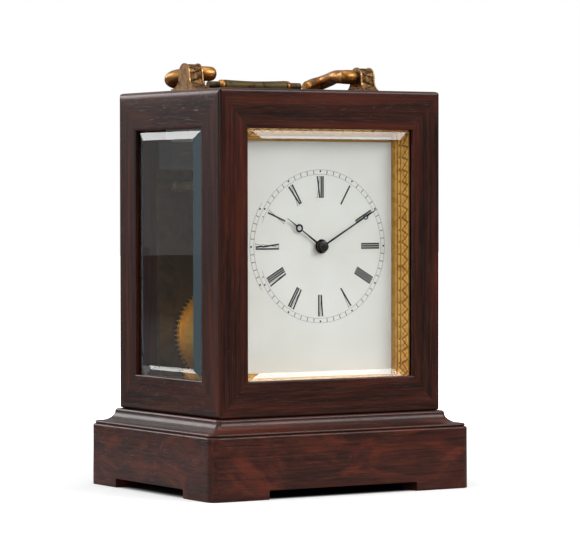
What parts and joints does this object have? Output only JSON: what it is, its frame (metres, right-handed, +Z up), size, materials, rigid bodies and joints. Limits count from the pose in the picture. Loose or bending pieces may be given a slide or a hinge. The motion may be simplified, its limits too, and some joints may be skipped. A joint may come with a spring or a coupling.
{
  "type": "carriage clock",
  "caption": "Carriage clock with a polished wooden case, bevelled glass on all sides, a white Roman dial in a gilt surround, a folding carrying handle and a rear door.",
  "frame": {"origin": "on the ground under the middle of the case", "axes": "+X to the right seen from the dial, +Y from the dial to the back door, +Z up"},
  "size_m": [0.1054, 0.0864, 0.1488],
  "materials": {
    "rosewood": "french-polished dark rosewood veneer",
    "inner_wood": "plain unpolished secondary wood",
    "bevelled_glass": "clear polished bevelled glass",
    "handle_bronze": "dark patinated bronze with rubbed edges",
    "handle_brass": "worn gilt brass casting",
    "gilt_brass": "engraved and gilded brass",
    "enamel": "fired white enamel with black figures",
    "blued_steel": "heat-blued polished steel",
    "clock_brass": "satin lacquered clock brass",
    "steel": "polished hardened steel",
    "silvered_brass": "silvered brass with a fine grain"
  },
  "bodies": {
    "case": {"plinth_front": "rosewood", "moulding_front": "rosewood", "plinth_right": "rosewood", "moulding_right": "rosewood", "plinth_back": "rosewood", "moulding_back": "rosewood", "plinth_left": "rosewood", "moulding_left": "rosewood", "base_board": "inner_wood", "front_frame": "rosewood", "left_frame": "rosewood", "right_frame": "rosewood", "top_board": "rosewood", "front_glass": "bevelled_glass", "left_glass": "bevelled_glass", "right_glass": "bevelled_glass", "lower_hinge_case_leaf": "clock_brass", "upper_hinge_case_leaf": "clock_brass", "handle_bracket_right": "handle_bronze", "handle_bracket_left": "handle_bronze", "handle_pin_right": "steel", "handle_pin_left": "steel", "dial_slip": "gilt_brass", "dial_plate": "enamel", "front_plate": "clock_brass", "back_plate": "clock_brass", "lower_pillar_left": "clock_brass", "lower_pillar_right": "clock_brass", "upper_pillar_left": "clock_brass", "upper_pillar_right": "clock_brass", "platform": "silvered_brass", "escape_bridge": "clock_brass", "balance_spring": "blued_steel", "balance_cock": "clock_brass"},
    "door": {"door_frame": "rosewood", "door_glass": "bevelled_glass", "door_knob": "gilt_brass", "lower_hinge_door_leaf": "clock_brass", "upper_hinge_door_leaf": "clock_brass"},
    "handle": {"handle_arm_left": "handle_brass", "handle_arm_right": "handle_brass", "handle_grip": "handle_bronze"},
    "centre_arbor": {"centre_wheel": "clock_brass", "cannon_pinion": "steel", "minute_hand": "blued_steel", "hand_collet": "steel"},
    "hour_pipe": {"hour_wheel": "clock_brass", "hour_hand": "blued_steel"},
    "minute_work": {"minute_wheel": "clock_brass"},
    "intermediate_arbor": {"intermediate_wheel": "clock_brass"},
    "going_barrel": {"barrel": "clock_brass", "mainspring": "steel"},
    "winding_arbor": {"barrel_arbor": "steel", "ratchet_wheel": "steel"},
    "click_body": {"click": "steel"},
    "third_arbor": {"third_wheel": "clock_brass"},
    "contrate_arbor": {"contrate_wheel": "clock_brass"},
    "escape_arbor": {"escape_wheel": "steel"},
    "lever": {"pallet_fork": "steel"},
    "balance": {"balance_wheel": "gilt_brass"}
  },
  "joints": [
    {"name": "handle_fold", "type": "hinge", "parent": "case", "child": "handle", "pos_m": [0, 0, 0.1453], "axis": [1, 0, 0], "range_deg": [0, 190]},
    {"name": "door_swing", "type": "hinge", "parent": "case", "child": "door", "pos_m": [0.03915, 0.0368, 0.08], "axis": [0, 0, -1], "range_deg": [0, 110]},
    {"name": "minute_turn", "type": "hinge", "parent": "case", "child": "centre_arbor", "pos_m": [0, 0, 0.0852], "axis": [0, 1, 0], "continuous": true},
    {"name": "hour_turn", "type": "hinge", "parent": "case", "child": "hour_pipe", "pos_m": [0, 0, 0.0852], "axis": [0, 1, 0], "continuous": true},
    {"name": "minute_work_turn", "type": "hinge", "parent": "case", "child": "minute_work", "pos_m": [0.00475, 0, 0.07697], "axis": [0, 1, 0], "continuous": true},
    {"name": "intermediate_turn", "type": "hinge", "parent": "case", "child": "intermediate_arbor", "pos_m": [-0.0043, 0, 0.06979], "axis": [0, 1, 0], "continuous": true},
    {"name": "barrel_turn", "type": "hinge", "parent": "case", "child": "going_barrel", "pos_m": [-0.01348, 0, 0.0535], "axis": [0, 1, 0], "continuous": true},
    {"name": "third_turn", "type": "hinge", "parent": "case", "child": "third_arbor", "pos_m": [0.01002, 0, 0.09522], "axis": [0, 1, 0], "continuous": true},
    {"name": "contrate_turn", "type": "hinge", "parent": "case", "child": "contrate_arbor", "pos_m": [0.00206, 0, 0.10239], "axis": [0, 1, 0], "continuous": true},
    {"name": "escape_turn", "type": "hinge", "parent": "case", "child": "escape_arbor", "pos_m": [0.00206, -0.00496, 0.11439], "axis": [0, 0, 1], "continuous": true},
    {"name": "winding_turn", "type": "hinge", "parent": "case", "child": "winding_arbor", "pos_m": [-0.01348, 0, 0.0535], "axis": [0, 1, 0], "range_deg": [0, 1440]},
    {"name": "click_lift", "type": "hinge", "parent": "case", "child": "click_body", "pos_m": [-0.01968, 0, 0.0629], "axis": [0, -1, 0], "range_deg": [0, 12], "stiffness_Nm_per_rad": 0.0002},
    {"name": "lever_swing", "type": "hinge", "parent": "case", "child": "lever", "pos_m": [0.00206, -0.00011, 0.11439], "axis": [0, 0, 1], "range_deg": [-5, 5]},
    {"name": "balance_swing", "type": "hinge", "parent": "case", "child": "balance", "pos_m": [0.00206, 0.00789, 0.11439], "axis": [0, 0, 1], "range_deg": [-270, 270], "stiffness_Nm_per_rad": 0.000007}
  ],
  "couplings": [
    {"joint": "hour_turn", "follows": "minute_turn", "ratio": 0.083333},
    {"joint": "minute_work_turn", "follows": "minute_turn", "ratio": -0.33333},
    {"joint": "intermediate_turn", "follows": "minute_turn", "ratio": -0.14286},
    {"joint": "barrel_turn", "follows": "minute_turn", "ratio": 0.019048},
    {"joint": "third_turn", "follows": "minute_turn", "ratio": -8},
    {"joint": "contrate_turn", "follows": "minute_turn", "ratio": 60},
    {"joint": "escape_turn", "follows": "minute_turn", "ratio": 600}
  ]
}
